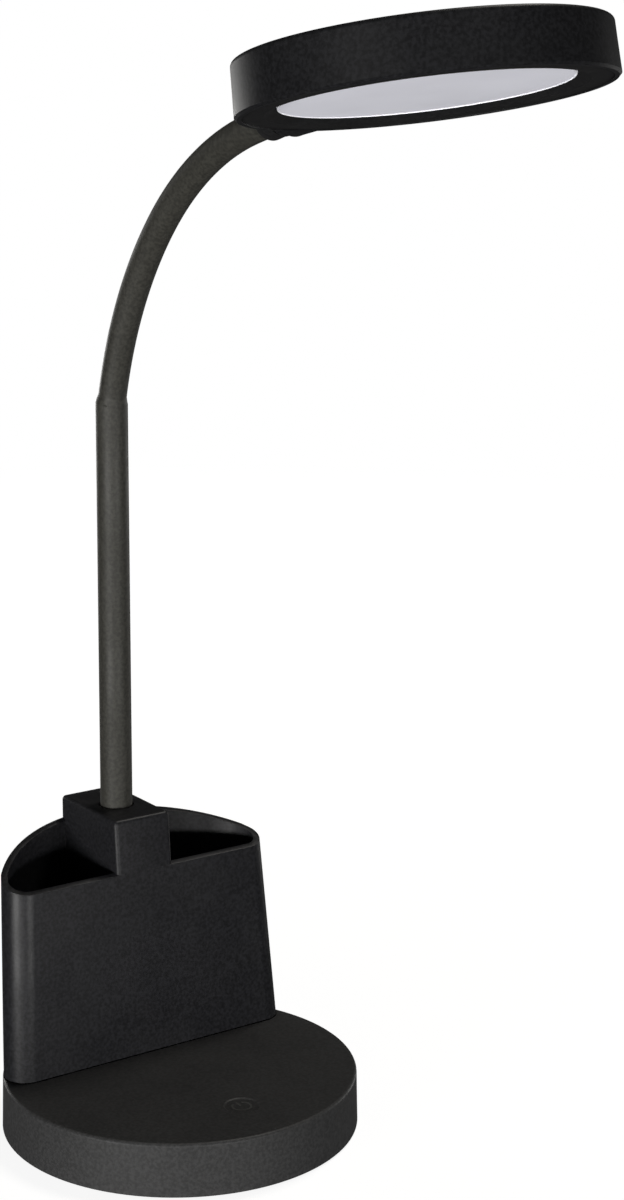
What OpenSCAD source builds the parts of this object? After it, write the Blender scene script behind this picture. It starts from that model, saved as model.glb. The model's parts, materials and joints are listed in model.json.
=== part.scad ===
// Desk lamp with a round base, a half-round pen holder on it, a bendable neck and a round tilting head.
// Millimetres. +Z is up, the lamp faces -Y, and the origin is the middle of the face that meets the desk.

/* [Base] */
// Diameter of the base at its lower edge
base_d = 130; // [124:1:150]
// Height of the base's wall
base_h = 19.5; // [19:0.5:26]
// How far the wall leans in over its height
base_draft = 0.5; // [0:0.1:1.5]
// Thickness of the base's wall
base_wall = 2.2; // [1.6:0.1:3]
// Thickness of the base's top
base_top_t = 2.4; // [2:0.1:2.8]
// Rounding of the base's upper edge
base_edge_r = 1.2; // [0.5:0.1:2]
// Thickness of the plate that closes the base
plate_t = 3.4; // [3.2:0.1:3.8]
// How far the edge of the soft mat lies inside the base's
mat_inset = 6; // [5:0.5:14]
// Thickness of the mat
mat_t = 1.6; // [1.2:0.1:1.8]
// Height at which the mat holds the base's edge off the desk
stand_off = 0.8; // [0.4:0.1:1]
// How far the edge of the steel weight lies inside the base's
ballast_inset = 19; // [17:0.5:30]
// Thickness of the steel weight
ballast_t = 6; // [4:0.5:6]

/* [Touch key and board] */
// Distance from the base's front edge back to the touch key
key_inset = 24.7; // [21:0.1:29]
// Diameter of the dish that marks the touch key
key_d = 13; // [9:0.5:16]
// Depth of that dish
key_dip = 0.3; // [0.1:0.1:0.6]
// Width of the control board
board_w = 34; // [32:1:44]
// Depth of the control board, front to back
board_l = 24; // [22:1:28]
// Thickness of the control board
board_t = 1.6; // [1:0.2:1.6]
// Room between the control board and the base's top
board_room = 4; // [3.6:0.1:4]
// Diameter of the spring that joins the board to the touch contact
spring_d = 6; // [4:0.5:8]
// Thickness of the spring's wire
spring_wire = 0.6; // [0.4:0.1:0.8]
// Number of turns of the spring
spring_turns = 4; // [2:1:5]
// Thickness of the touch contact
contact_t = 0.2; // [0.1:0.1:0.5]

/* [Power inlet] */
// Width of the inlet's housing
jack_w = 9; // [8.6:0.1:11]
// Height of the inlet's housing
jack_h = 9; // [8.6:0.1:9]
// Length of the inlet's housing
jack_l = 11.5; // [10:0.5:11.5]
// Diameter of the inlet's bore
jack_bore_d = 5.6; // [5:0.1:6.2]
// Diameter of the inlet's middle pin
jack_pin_d = 2.1; // [1.3:0.1:2.5]
// Depth of the inlet's bore
jack_depth = 9.5; // [8:0.5:10]

/* [Pen holder] */
// How far the holder's round back lies inside the base's upper edge
holder_inset = 0.3; // [0:0.1:2]
// Depth of the holder, from the foot of its flat front to the base's rear edge
holder_depth = 47.7; // [45:0.1:52]
// Angle at which the flat front leans back
flat_lean = 4.77; // [0:0.5:6]
// Rounding between the flat front and the round back
corner_r = 8; // [4:0.5:12]
// Thickness of the holder's walls
holder_wall = 2.2; // [1.6:0.1:2.8]
// Height of the rim at the flat front, over the base
rim_h = 69; // [50:1:78]
// Slope of the rim, rising to the back
rim_slope = 16; // [0:1:18]
// Height of the hollow under the pots' floor
floor_lift = 10; // [9:0.5:20]
// Thickness of the pots' floor
floor_t = 2; // [1.6:0.1:3]

/* [Tower] */
// Width of the tower between the two pots
tower_w = 23.5; // [22.5:0.5:30]
// Height of the tower over the base
tower_h = 89.1; // [86:0.1:110]
// Thickness of the tower's top
tower_top_t = 2.5; // [2:0.1:4]
// Rounding of the tower's edges
tower_edge_r = 1.5; // [0.5:0.1:2]
// Distance from the base's rear edge forward to the neck
neck_inset = 21.7; // [20:0.1:25]
// Gap round the neck where it enters the tower
tower_gap = 0.5; // [0.3:0.1:1]

/* [Neck] */
// Height of the kink, where the pipe ends, over the base
neck_rise = 239.3; // [160:1:280]
// Outer diameter of the steel pipe
pipe_d = 10; // [9.6:0.1:10.4]
// Wall thickness of the steel pipe
pipe_wall = 0.8; // [0.6:0.1:1]
// Outer diameter of the sleeve at the tower
sleeve_foot_d = 12; // [11.8:0.1:13]
// Outer diameter of the sleeve just under the kink
sleeve_mid_d = 11.6; // [11.4:0.1:11.8]
// Outer diameter of the sleeve on the bendable part
sleeve_top_d = 10.2; // [10:0.1:10.8]
// Wall thickness of the sleeve on the bendable part
sleeve_wall = 0.6; // [0.5:0.1:0.8]
// Angle off the vertical at which the bendable part leaves the kink
kink_deg = 12.5; // [4:0.5:14]
// Radius of the lower half of the bend
low_bend_r = 144; // [110:1:200]
// Angle that the lower half turns through
low_bend_deg = 30; // [20:1:36]
// Radius of the upper half of the bend
top_bend_r = 122; // [110:1:200]
// Angle that the upper half turns through
top_bend_deg = 31; // [20:1:36]
// Length from the end of the bend to the tilt hinge
end_run = 22.7; // [21:0.1:30]
// Diameter of the ball that joins two links
ball_d = 6.4; // [6:0.1:6.6]
// Diameter of the bore for the leads
lead_d = 3; // [2:0.1:3.2]

/* [Tilt hinge] */
// Diameter of the collar at the neck's end
collar_d = 13; // [12:0.1:14]
// Length from the collar's rear face to the tilt hinge
collar_l = 12.8; // [12:0.1:14]
// Diameter of the round knuckle on the head
knuckle_d = 16.4; // [15.6:0.1:16.6]
// Diameter of the hinge pin
pin_d = 3; // [2.5:0.1:4]
// Thickness of the tongue between the knuckle's cheeks
tongue_t = 4.4; // [3.4:0.1:5]
// Width of the tongue under its eye
tongue_w = 7; // [5:0.1:7.2]
// Radius of the eye at the tongue's end
eye_r = 4.4; // [3.8:0.1:4.8]

/* [Head] */
// Diameter of the head at its lower edge
head_d = 113.1; // [110:0.1:140]
// Height of the head
head_h = 16.7; // [16.7:0.1:22]
// How far the head's side leans in over its height
head_draft = 0.65; // [0:0.05:1]
// Thickness of the head's wall
head_wall = 2.2; // [2:0.1:3]
// Thickness of the head's top
head_top_t = 2.2; // [1.8:0.1:2.6]
// Rounding of the head's upper edge
head_edge_r = 1.5; // [0.8:0.1:2]
// Angle at which the head's front is raised
head_tilt = 11.9; // [0:0.1:20]
// Distance from the head's edge back to the tilt hinge
hinge_reach = 12.25; // [11:0.05:18]
// How far the edge of the lens lies inside the head's
lens_inset = 12.65; // [11:0.05:18]
// Height of the lens's face over the head's lower edge
lens_dip = 2.15; // [1:0.05:2.5]
// Width of the sloping ring round the lens
bevel_w = 3.6; // [2:0.1:4]
// Height of the bezel's face over the head's lower edge
bezel_dip = 0.35; // [0:0.05:0.6]
// Number of clips that hold the bezel
clips = 6; // [3:1:8]
// Number of lamps in the outer ring of the board
outer_leds = 24; // [12:1:28]
// Number of lamps in the inner ring
inner_leds = 12; // [6:1:14]

/* [Fits] */
// Gap between pieces that are set in one another
fit_gap = 0.15; // [0.1:0.05:0.2]
// Gap on the radius of a ball in its socket
ball_gap = 0.15; // [0.1:0.01:0.2]
// Running gap on the radius of the hinge pin
run_gap = 0.05; // [0.02:0.01:0.1]
// Gap between moving faces
move_gap = 0.3; // [0.25:0.05:0.4]

/* [Hidden] */
$fn = 96;
over = 1; // how far a cut runs past the face that it opens
joint_lap = 0.5; // how far one stretch of a tube runs into the next
joint_step = 0.03; // how much thinner its wall is there
snug = 0.02; // gap that a push fit leaves on the radius
edge_steps = 8; // steps in the rounding of a case's edge

// Finishes, as the photograph shows them
black_case = "#2b2b2d";
grey_case = "#3f3f40";
neck_grey = "#474743";
deep_black = "#151517";
steel = "#9a9c9f";
dark_steel = "#55575a";
spring_gold = "#b9a15a";
white_plastic = "#e8e8ea";
lens_white = "#d2d2d9";
board_green = "#1f4a33";
board_white = "#e4e6e2";

// Base: radii, and heights over the desk
base_r = base_d / 2;
mat_d = base_d - 2 * mat_inset;
ballast_d = base_d - 2 * ballast_inset;
key_y = base_r - key_inset;
flat_y = base_r - holder_depth;
neck_y = base_r - neck_inset;
top_r = base_r - base_draft;
plate_r = base_r - base_wall - fit_gap;
edge_z = stand_off;
plate_z = edge_z + plate_t;
top_z = edge_z + base_h;
under_z = top_z - base_top_t;
board_z = under_z - board_room - board_t;
jack_z = plate_z + jack_h / 2;
jack_snout_r = jack_bore_d / 2 + 1.2;
jack_front_y = base_r - base_wall - 0.5;

// Screws: the shank cuts its own thread in a pilot hole
screw_d = 2.9;
screw_head_d = 5.4;
screw_head_h = 1.5;
screw_gap = 0.25;
pilot_r = screw_d / 2 + snug;
boss_r = 3.3;
seat_z = mat_t + screw_head_h + 0.1;
base_screws_r = plate_r - boss_r - 1.5;
base_screw_l = 9;
ballast_screws_r = ballast_d / 2 - 9;
ballast_screw_l = 4.5;
board_screw_x = board_w / 2 - 4;
board_screw_l = 5;
holder_screw_l = 10;

// Pen holder and tower
holder_r = top_r - holder_inset;
holder_screws_r = holder_r - holder_wall - boss_r - 2;
holder_screws_at = [for (a = [-56, -23, 23, 56]) holder_screws_r * [sin(a), cos(a)]];
lean_run = tan(flat_lean);
tower_z = top_z + tower_h;
floor_z = top_z + floor_lift + floor_t;
rim_z = top_z + rim_h;
rim_y = flat_y + rim_h * lean_run;
past_rim = 60; // how far the block runs up before its rim is cut

// Neck, in the plane x = 0: lengths along the bend start at the kink
sleeve_r = sleeve_top_d / 2;
sleeve_in_r = sleeve_r - sleeve_wall;
link_r = sleeve_in_r - move_gap;
ball_r = ball_d / 2;
stem_r = ball_r - 0.9;
lead_r = lead_d / 2;
lip = 1;
shoulder = 3.4;
kink_z = top_z + neck_rise;
low_l = low_bend_r * low_bend_deg * PI / 180;
top_l = top_bend_r * top_bend_deg * PI / 180;
bend_l = low_l + top_l;
hinge_l = bend_l + end_run;
sleeve_l = hinge_l - collar_l;
mid_deg = kink_deg + low_bend_deg;
end_deg = mid_deg + top_bend_deg;
low_c = [neck_y, kink_z] - low_bend_r * [cos(kink_deg), sin(kink_deg)];
top_c = low_c + (low_bend_r - top_bend_r) * [cos(mid_deg), sin(mid_deg)];
bend_end = top_c + top_bend_r * [cos(end_deg), sin(end_deg)];
hinge = bend_end + end_run * [-sin(end_deg), cos(end_deg)];
pivots = [0, low_l / 3, low_l * 2 / 3, low_l, low_l + top_l / 3, low_l + top_l * 2 / 3];
link_mids = [for (i = [0:5]) (pivots[i] + (i < 5 ? pivots[i + 1] : sleeve_l)) / 2];
pipe_end_z = kink_z - shoulder - 0.5;
plug_l = 12;
sleeve_1_below = 14;

// Neck's foot, bolted through the base's top inside the tower
flange_r = 8.5;
flange_t = 3;
washer_t = 1;
nut_t = 3.4;
nut_flats = 13;
nut_z = under_z - washer_t - nut_t;
foot_z = nut_z - 0.2;

// Head, in its own frame: origin in the middle of its lower face, hinge towards +Y
head_r = head_d / 2;
head_reach = head_r + hinge_reach;
head_in_r = head_r - head_wall;
head_o = hinge - [head_reach * cos(head_tilt) + head_h / 2 * sin(head_tilt),
                  head_h / 2 * cos(head_tilt) - head_reach * sin(head_tilt)];
knuckle_r = knuckle_d / 2;
cup_r = knuckle_r + move_gap;
collar_r = collar_d / 2;
spigot_l = collar_l - cup_r - 1;
slot_w = tongue_t + 0.4;
lead_side = eye_r - 0.8;
lens_r = head_r - lens_inset;
open_r = lens_r + move_gap;
lens_seat_w = 2.6;
lens_seat_r = open_r + lens_seat_w;
lens_step = 1.1;
lens_z = lens_dip + lens_step;
lens_t = 1.5;
bezel_r = head_in_r - fit_gap;
bezel_wall = 1.2;
bezel_t = 1.5;
bezel_top = 5.5;
clip_out = 0.6;
led_t = 1.6;
led_boss_h = 2.6;
outer_ring_in = 6.5;
inner_ring_in = 24;
chip_size = [2.8, 3.5, 0.8];
led_z = head_h - head_top_t - led_boss_h - led_t;
led_board_r = lens_seat_r - 4;
led_screws_in = 12;
led_screws_r = led_board_r - led_screws_in;
led_rings = [[outer_leds, led_board_r - outer_ring_in], [inner_leds, led_board_r - inner_ring_in]];
led_screw_l = led_t + led_boss_h - 0.3;

// ---- the bend ----------------------------------------------------------------

// Angle off the vertical, and point (y, z), at a length s past the kink
function bend_deg(s) = s < low_l ? kink_deg + s / low_bend_r * 180 / PI
    : s < bend_l ? mid_deg + (s - low_l) / top_bend_r * 180 / PI
    : end_deg;
function bend_pt(s) = s < low_l ? low_c + low_bend_r * [cos(bend_deg(s)), sin(bend_deg(s))]
    : s < bend_l ? top_c + top_bend_r * [cos(bend_deg(s)), sin(bend_deg(s))]
    : bend_end + (s - bend_l) * [-sin(end_deg), cos(end_deg)];

// Puts its children at a length s along the bend, with +Z along the neck
module on_bend(s) {
    translate([0, bend_pt(s)[0], bend_pt(s)[1]]) rotate([bend_deg(s), 0, 0]) children();
}

// A round tube along the bend, from length a to length b. Where two stretches meet, the upper one
// runs a little way into the wall of the lower one.
module bend_tube(r_out, r_in, a, b) {
    if (a < low_l) arc_tube(r_out, r_in, low_c, low_bend_r, bend_deg(a), min(bend_deg(b), mid_deg));
    if (b > low_l && a < bend_l)
        let (t = a < low_l ? joint_step : 0, from = a < low_l ? low_l - joint_lap : a)
            arc_tube(r_out - t, r_in + t, top_c, top_bend_r,
                     mid_deg + (from - low_l) / top_bend_r * 180 / PI, bend_deg(b));
    if (b > bend_l)
        let (t = a < bend_l ? joint_step : 0, from = a < bend_l ? bend_l - joint_lap : a)
            translate([0, bend_end[0], bend_end[1]]) rotate([end_deg, 0, 0])
                translate([0, 0, from - bend_l]) tube(r_out - t, r_in + t, b - from);
}

// One arc of that tube, about the centre c
module arc_tube(r_out, r_in, c, bend_r, from, to) {
    translate([0, c[0], c[1]]) rotate([90, 0, 90]) rotate([0, 0, from])
        rotate_extrude(angle = to - from) translate([bend_r, 0]) difference() {
            circle(r = r_out, $fn = 48);
            circle(r = r_in, $fn = 32);
        }
}

module tube(r_out, r_in, l) {
    difference() {
        cylinder(r = r_out, h = l);
        translate([0, 0, -over]) cylinder(r = r_in, h = l + 2 * over);
    }
}

// ---- helpers -----------------------------------------------------------------

// Everything in the head is drawn in the head's own frame
module in_head() {
    translate([0, head_o[0], head_o[1]]) rotate([-head_tilt, 0, 0]) children();
}

module ring_of(n, r, first = 0) {
    for (i = [0:n - 1]) rotate([0, 0, first + i * 360 / n]) translate([r, 0, 0]) children();
}

// A screw whose head seats at z = 0 and whose shank goes up
module screw(l) {
    cylinder(d = screw_d, h = l - 0.8, $fn = 32);
    translate([0, 0, l - 0.8]) cylinder(d1 = screw_d, d2 = screw_d / 2, h = 0.8, $fn = 32);
    translate([0, 0, -screw_head_h]) cylinder(d = screw_head_d, h = screw_head_h, $fn = 32);
}

// Half the section of a round case: its wall leans in by draft, and its upper edge is rounded
module case_section(r, h, draft, edge_r, foot) {
    lean = atan(draft / h);
    edge_x = r - (h - edge_r) * tan(lean) - edge_r / cos(lean);
    polygon([[0, 0], [r - foot, 0], [r - foot * tan(lean), foot],
             for (i = [0:edge_steps]) let (a = lean + (90 - lean) * i / edge_steps)
                 [edge_x + edge_r * cos(a), h - edge_r + edge_r * sin(a)],
             [0, h]]);
}

// ---- base --------------------------------------------------------------------

module base_cover() color(grey_case) difference() {
    union() {
        translate([0, 0, edge_z]) rotate_extrude() difference() {
            case_section(base_r, base_h, base_draft, base_edge_r, 0);
            translate([-over, -over]) square([base_r - base_wall + over, base_h - base_top_t + over]);
        }
        ring_of(4, base_screws_r, 45) translate([0, 0, plate_z])
            cylinder(r = boss_r, h = under_z - plate_z);
        for (x = [-1, 1]) translate([x * board_screw_x, -key_y, board_z + board_t])
            cylinder(r = boss_r, h = board_room);
    }
    ring_of(4, base_screws_r, 45) translate([0, 0, plate_z - over])
        cylinder(r = pilot_r, h = seat_z + base_screw_l - plate_z + over + 0.5);
    for (x = [-1, 1]) translate([x * board_screw_x, -key_y, board_z])
        cylinder(r = pilot_r, h = board_screw_l + 0.5);
    for (p = holder_screws_at) translate([p[0], p[1], under_z - over])
        cylinder(r = screw_d / 2 + screw_gap, h = base_top_t + 2 * over);
    translate([0, neck_y, under_z - over])
        cylinder(d = pipe_d + 2 * fit_gap, h = base_top_t + 2 * over);
    translate([0, -key_y, top_z - key_dip]) {
        cylinder(d1 = key_d - 4 * key_dip, d2 = key_d, h = key_dip);
        translate([0, 0, key_dip]) cylinder(d = key_d, h = over);
    }
    translate([0, jack_front_y - over, jack_z]) rotate([-90, 0, 0])
        cylinder(r = jack_snout_r + fit_gap, h = base_wall + 3 * over);
}

module base_plate() color(deep_black) difference() {
    translate([0, 0, edge_z]) cylinder(r = plate_r, h = plate_t);
    translate([0, 0, edge_z - over]) cylinder(d = mat_d + 2 * fit_gap, h = mat_t - stand_off + over);
    ring_of(4, base_screws_r, 45) screw_well();
    ring_of(3, ballast_screws_r, 90) screw_well();
}

// The well and the hole for a screw that goes up through the plate
module screw_well() {
    translate([0, 0, edge_z - over]) {
        cylinder(d = screw_head_d + 2 * screw_gap, h = seat_z - edge_z + over);
        cylinder(d = screw_d + 2 * screw_gap, h = plate_t + 2 * over);
    }
}

module desk_mat() color(deep_black) {
    cylinder(d1 = mat_d - 1, d2 = mat_d, h = 0.5);
    translate([0, 0, 0.5]) cylinder(d = mat_d, h = mat_t - 0.5);
}

module ballast_plate() color(dark_steel) difference() {
    translate([0, 0, plate_z]) {
        cylinder(d = ballast_d, h = ballast_t - 0.8);
        translate([0, 0, ballast_t - 0.8]) cylinder(d1 = ballast_d, d2 = ballast_d - 1.6, h = 0.8);
    }
    ring_of(3, ballast_screws_r, 90) translate([0, 0, plate_z - over])
        cylinder(r = pilot_r, h = seat_z + ballast_screw_l - plate_z + over + 0.3);
}

module ballast_screws() color(steel)
    ring_of(3, ballast_screws_r, 90) translate([0, 0, seat_z]) screw(ballast_screw_l);

module base_screws() color(steel)
    ring_of(4, base_screws_r, 45) translate([0, 0, seat_z]) screw(base_screw_l);

// ---- touch key and board -------------------------------------------------------

module touch_contact() color(spring_gold)
    translate([0, -key_y, under_z - contact_t]) cylinder(d = spring_d + 4, h = contact_t);

// Closed end turns with an open coil between them
module touch_spring() color(spring_gold) translate([0, -key_y, board_z + board_t]) {
    room = board_room - contact_t - spring_wire;
    coil(spring_d / 2, spring_wire, room, spring_turns, spring_wire / 2);
    for (z = [spring_wire / 2, spring_wire / 2 + room])
        translate([0, 0, z]) rotate_extrude() translate([spring_d / 2, 0]) circle(d = spring_wire, $fn = 16);
}

// A coil of round wire that climbs by h from z0, as one closed tube
module coil(r, wire, h, turns, z0) {
    steps = 20 * turns;
    sides = 8;
    wire_r = wire / 2.2;
    points = [for (i = [0:steps], j = [0:sides - 1])
        let (a = 360 * i / 20, b = 360 * j / sides, out = r + wire_r * cos(b))
        [out * cos(a), out * sin(a), z0 + h * i / steps + wire_r * sin(b)]];
    last = steps * sides;
    walls = [for (i = [0:steps - 1], j = [0:sides - 1])
        let (a = i * sides + j, b = i * sides + (j + 1) % sides)
        each [[a, b, a + sides], [b, b + sides, a + sides]]];
    ends = [for (j = [1:sides - 2]) each [[0, j + 1, j], [last, last + j, last + j + 1]]];
    polyhedron(points, concat(walls, ends));
}

module control_board() color(board_green) difference() {
    translate([-board_w / 2, -key_y - board_l / 2, board_z]) cube([board_w, board_l, board_t]);
    for (x = [-1, 1]) translate([x * board_screw_x, -key_y, board_z - over])
        cylinder(d = screw_d + 2 * screw_gap, h = board_t + 2 * over);
}

// On the board: a controller, two capacitors, a coil and the plug for the leads
module board_parts() color(deep_black) translate([0, -key_y, board_z + board_t]) {
    back_y = board_l / 2 - 3.5;
    translate([-7.5, -board_l / 2 + 2, 0]) cube([5, 4, 1.4]);
    translate([-3.5, back_y - 1.8, 0]) cube([8, 4.4, 3]);
    for (x = [2, 7]) translate([x, -board_l / 2 + 4, 0]) cylinder(r = 1.9, h = 3.2);
    translate([-9.5, back_y - 1.5, 0]) cube([4, 4, 2.4]);
}

module board_screws() color(steel)
    for (x = [-1, 1]) translate([x * board_screw_x, -key_y, board_z]) screw(board_screw_l);

// ---- power inlet ---------------------------------------------------------------

module dc_jack() color(deep_black) difference() {
    union() {
        translate([-jack_w / 2, jack_front_y - jack_l, plate_z]) cube([jack_w, jack_l, jack_h]);
        translate([0, jack_front_y, jack_z]) rotate([-90, 0, 0])
            cylinder(r = jack_snout_r, h = base_wall);
    }
    translate([0, jack_front_y + base_wall + over, jack_z]) rotate([90, 0, 0])
        cylinder(d = jack_bore_d, h = jack_depth + over);
}

module jack_pin() color(steel) {
    pin_l = jack_depth - 1;
    translate([0, jack_front_y + base_wall - jack_depth, jack_z]) rotate([-90, 0, 0]) {
        cylinder(d = jack_pin_d, h = pin_l - jack_pin_d / 2);
        translate([0, 0, pin_l - jack_pin_d / 2]) sphere(d = jack_pin_d, $fn = 32);
    }
}

// ---- pen holder and tower --------------------------------------------------------

// The half-round block between two heights, drawn in all round by inset: a leaning flat front
// that runs through rounded corners into an upright round back
module half_round(inset, z_low, z_high) {
    r = corner_r - inset;
    intersection() {
        translate([0, 0, z_low]) cylinder(r = holder_r - inset, h = z_high - z_low, $fn = 128);
        hull() for (z = [z_low, z_high - 0.01], x = [-1, 1])
            let (cy = flat_y + (z - top_z) * lean_run + corner_r,
                 cx = sqrt(pow(holder_r - corner_r, 2) - cy * cy),
                 out = [cx, cy] / (holder_r - corner_r),
                 run = holder_r * (1 - out[1]) / out[0] + over,
                 far = [cx, cy] + r * out + run * [-out[1], out[0]]) {
                translate([x * cx, cy, z]) cylinder(r = r, h = 0.01, $fn = 48);
                translate([x * far[0], far[1], z]) cylinder(r = 0.01, h = 0.01, $fn = 8);
            }
    }
}

module pen_holder() color(black_case) difference() {
    union() {
        difference() {
            half_round(0, top_z, rim_z + past_rim);
            translate([-holder_r - over, rim_y, rim_z]) rotate([rim_slope, 0, 0])
                translate([0, -holder_r, 0]) cube([2 * (holder_r + over), 3 * holder_r, 2 * past_rim]);
        }
        intersection() {
            half_round(0, top_z, tower_z);
            tower_block();
        }
    }
    difference() {
        intersection() {
            half_round(holder_wall, top_z - over, tower_z + past_rim);
            union() {
                for (side = [0, 1]) mirror([side, 0, 0]) translate([tower_w / 2, 0, floor_z])
                    cube([holder_r, holder_r, rim_h + past_rim]);
                translate([-holder_r, 0, top_z - over]) cube([2 * holder_r, holder_r, floor_lift + over]);
                translate([holder_wall - tower_w / 2, 0, top_z - over])
                    cube([tower_w - 2 * holder_wall, holder_r, tower_h - tower_top_t + over]);
            }
        }
        for (p = holder_screws_at) translate([p[0], p[1], top_z])
            cylinder(r = boss_r, h = floor_lift + floor_t / 2);
    }
    for (p = holder_screws_at) translate([p[0], p[1], top_z - over])
        cylinder(r = pilot_r, h = under_z + holder_screw_l - top_z + over + 0.5);
    translate([0, neck_y, tower_z - tower_top_t - over])
        cylinder(d = sleeve_foot_d + 2 * tower_gap, h = tower_top_t + 2 * over);
}

// The tower's column, with rounded front corners and a rounded top
module tower_block() {
    r = tower_edge_r;
    front_top = flat_y + tower_h * lean_run;
    hull() for (x = [-1, 1]) {
        translate([x * (tower_w / 2 - r), flat_y + r, top_z]) cylinder(r = r, h = 0.01, $fn = 32);
        translate([x * (tower_w / 2 - r), front_top + r, tower_z - r]) sphere(r = r, $fn = 32);
        translate([x * (tower_w / 2 - r), holder_r - r, tower_z - r]) sphere(r = r, $fn = 32);
        translate([x * (tower_w / 2 - r), holder_r - r, top_z]) cylinder(r = r, h = 0.01, $fn = 32);
    }
}

module holder_screws() color(steel)
    for (p = holder_screws_at) translate([p[0], p[1], under_z]) screw(holder_screw_l);

// ---- neck --------------------------------------------------------------------

// The steel pipe, with the flange that it stands on
module neck_pipe() color(steel) translate([0, neck_y, 0]) difference() {
    union() {
        translate([0, 0, foot_z]) cylinder(d = pipe_d, h = pipe_end_z - foot_z);
        translate([0, 0, top_z]) cylinder(r = flange_r, h = flange_t);
    }
    translate([0, 0, foot_z - over])
        cylinder(r = pipe_d / 2 - pipe_wall, h = pipe_end_z - foot_z + 2 * over);
}

module neck_washer() color(steel) translate([0, neck_y, under_z - washer_t]) difference() {
    cylinder(r = nut_flats / 2 + 1, h = washer_t);
    translate([0, 0, -over]) cylinder(d = pipe_d + 2 * fit_gap, h = washer_t + 2 * over);
}

module neck_nut() color(steel) translate([0, neck_y, nut_z]) difference() {
    cylinder(r = nut_flats / 2 / cos(30), h = nut_t, $fn = 6);
    translate([0, 0, -over]) cylinder(d = pipe_d + 2 * run_gap, h = nut_t + 2 * over);
}

// Pressed into the pipe's end: the first ball, leaning as the neck does at rest
module pipe_plug() color(dark_steel) difference() {
    union() {
        translate([0, neck_y, pipe_end_z - plug_l]) cylinder(r = pipe_d / 2 - pipe_wall - snug, h = plug_l);
        on_bend(0) translate([0, 0, -shoulder - 2.5]) cylinder(r = stem_r, h = shoulder + 2.5);
        on_bend(0) sphere(r = ball_r);
    }
    translate([0, neck_y, pipe_end_z - plug_l - over]) cylinder(d = lead_d, h = plug_l);
    on_bend(0) translate([0, 0, -shoulder - 3]) cylinder(d = lead_d, h = shoulder + ball_r + 3 + over);
}

// A link of the bendable part: a socket at its lower end and a ball at its upper end
module neck_link(k) color(dark_steel) {
    low = pivots[k - 1];
    high = pivots[k];
    difference() {
        union() {
            bend_tube(link_r, lead_r, low, high - shoulder);
            on_bend(low) translate([0, 0, -lip]) cylinder(r = link_r - 0.1, h = lip + joint_lap);
            on_bend(high) {
                translate([0, 0, -shoulder - joint_lap]) cylinder(r = stem_r, h = shoulder + joint_lap);
                sphere(r = ball_r);
            }
        }
        on_bend(low) sphere(r = ball_r + ball_gap);
        on_bend(high) translate([0, 0, -shoulder - over])
            cylinder(r = lead_r - 0.1, h = shoulder + ball_r + 2 * over);
    }
}

module neck_link_1() neck_link(1);
module neck_link_2() neck_link(2);
module neck_link_3() neck_link(3);
module neck_link_4() neck_link(4);
module neck_link_5() neck_link(5);

// The last link ends in a spigot that the collar is crimped on
module neck_link_6() color(dark_steel) difference() {
    union() {
        on_bend(pivots[5]) translate([0, 0, -lip]) cylinder(r = link_r - 0.1, h = lip + joint_lap);
        bend_tube(link_r, lead_r, pivots[5], sleeve_l + spigot_l);
    }
    on_bend(pivots[5]) sphere(r = ball_r + ball_gap);
}

// The sleeve over the pipe, from its flange up to where the first bending length starts
module sleeve_pipe() color(neck_grey) translate([0, neck_y, top_z + flange_t]) {
    l = kink_z - sleeve_1_below - top_z - flange_t;
    difference() {
        cylinder(d1 = sleeve_foot_d, d2 = sleeve_mid_d, h = l);
        translate([0, 0, -over]) cylinder(d = pipe_d + 2 * run_gap, h = l + 2 * over);
    }
}

// The length of sleeve that steps down from the pipe onto the bendable part
module sleeve_1() color(neck_grey) difference() {
    union() {
        translate([0, neck_y, kink_z - sleeve_1_below])
            cylinder(d = sleeve_mid_d, h = sleeve_1_below - 1.5);
        on_bend(0) translate([0, 0, -2.5]) cylinder(r1 = sleeve_mid_d / 2, r2 = sleeve_r, h = 6);
        bend_tube(sleeve_r, sleeve_in_r, 0, link_mids[0]);
    }
    translate([0, neck_y, kink_z - sleeve_1_below - over])
        cylinder(d = pipe_d + 2 * run_gap, h = pipe_end_z - kink_z + sleeve_1_below + over);
    translate([0, neck_y, pipe_end_z - over])
        cylinder(r = sleeve_in_r + snug, h = kink_z - pipe_end_z + over);
    on_bend(0) sphere(r = sleeve_in_r + 2 * snug);
    on_bend(0) cylinder(r = sleeve_in_r, h = 4.5);
}

// A length of sleeve on the bend, from length a to length b
module sleeve_on_bend(a, b) color(neck_grey) bend_tube(sleeve_r, sleeve_in_r, a, b);

module sleeve_2() sleeve_on_bend(link_mids[0], link_mids[1]);
module sleeve_3() sleeve_on_bend(link_mids[1], link_mids[2]);
module sleeve_4() sleeve_on_bend(link_mids[2], link_mids[3]);
module sleeve_5() sleeve_on_bend(link_mids[3], link_mids[4]);
module sleeve_6() sleeve_on_bend(link_mids[4], link_mids[5]);
module sleeve_end() sleeve_on_bend(link_mids[5], sleeve_l);

// ---- tilt hinge ----------------------------------------------------------------

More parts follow.
